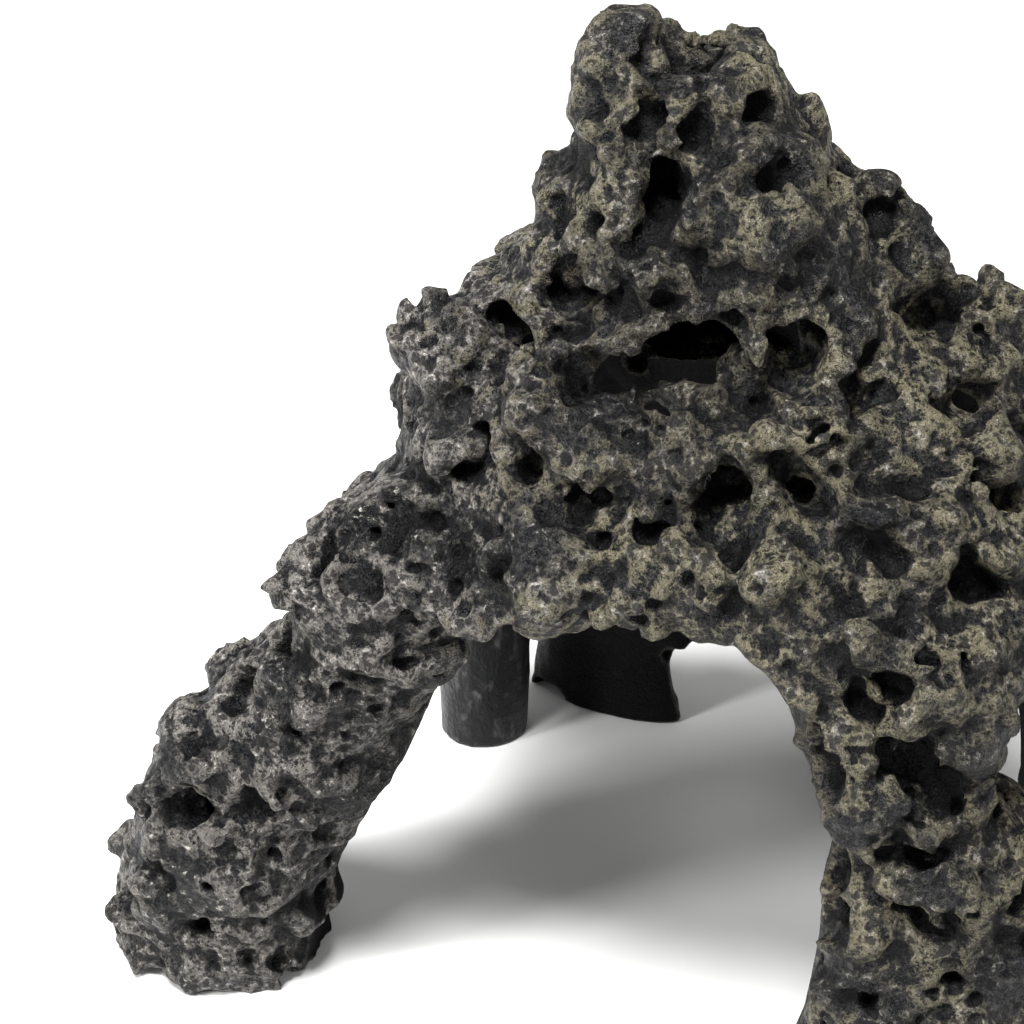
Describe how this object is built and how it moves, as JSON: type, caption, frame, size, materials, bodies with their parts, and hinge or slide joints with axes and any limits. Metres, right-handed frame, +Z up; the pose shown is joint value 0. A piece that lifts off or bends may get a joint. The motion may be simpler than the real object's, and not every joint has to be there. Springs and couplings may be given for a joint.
{
  "type": "pond and aquarium cave ornament",
  "caption": "Hollow volcanic-rock mountain on six legs, open underneath with arches, windows and a crater, as a shelter and swim-through for fish.",
  "frame": {"origin": "middle of the footprint box on the ground plane, at the bottom of the feet", "axes": "+Z up, +X to the right seen from the front, +Y to the back, so the front with the big arch faces -Y"},
  "size_m": [0.3332, 0.267, 0.3054],
  "materials": {
    "lava_rock": "cast polyresin rock, near-black wash with khaki-grey dry brushing and a thin varnish",
    "smooth_column": "smooth cast polyresin, dark grey, satin",
    "epoxy": "set two-part epoxy, satin",
    "pin_rod": "glass-fibre rod, matt"
  },
  "bodies": {
    "root": {"summit_casting": "lava_rock", "front_vault_casting": "lava_rock", "rear_vault_casting": "lava_rock", "front_left_leg": "lava_rock", "front_centre_leg": "lava_rock", "right_leg": "lava_rock", "rear_right_leg": "lava_rock", "rear_fin_leg": "lava_rock", "rear_left_leg": "smooth_column", "front_left_leg_bond": "epoxy", "front_centre_leg_bond": "epoxy", "right_leg_bond": "epoxy", "rear_right_leg_bond": "epoxy", "rear_fin_leg_bond": "epoxy", "rear_left_leg_bond": "epoxy", "vault_pin_lower_left": "pin_rod", "vault_pin_lower_right": "pin_rod", "vault_pin_upper_left": "pin_rod", "vault_pin_upper_right": "pin_rod", "summit_pin_left": "pin_rod", "summit_pin_right": "pin_rod", "summit_pin_rear": "pin_rod"}
  },
  "joints": []
}
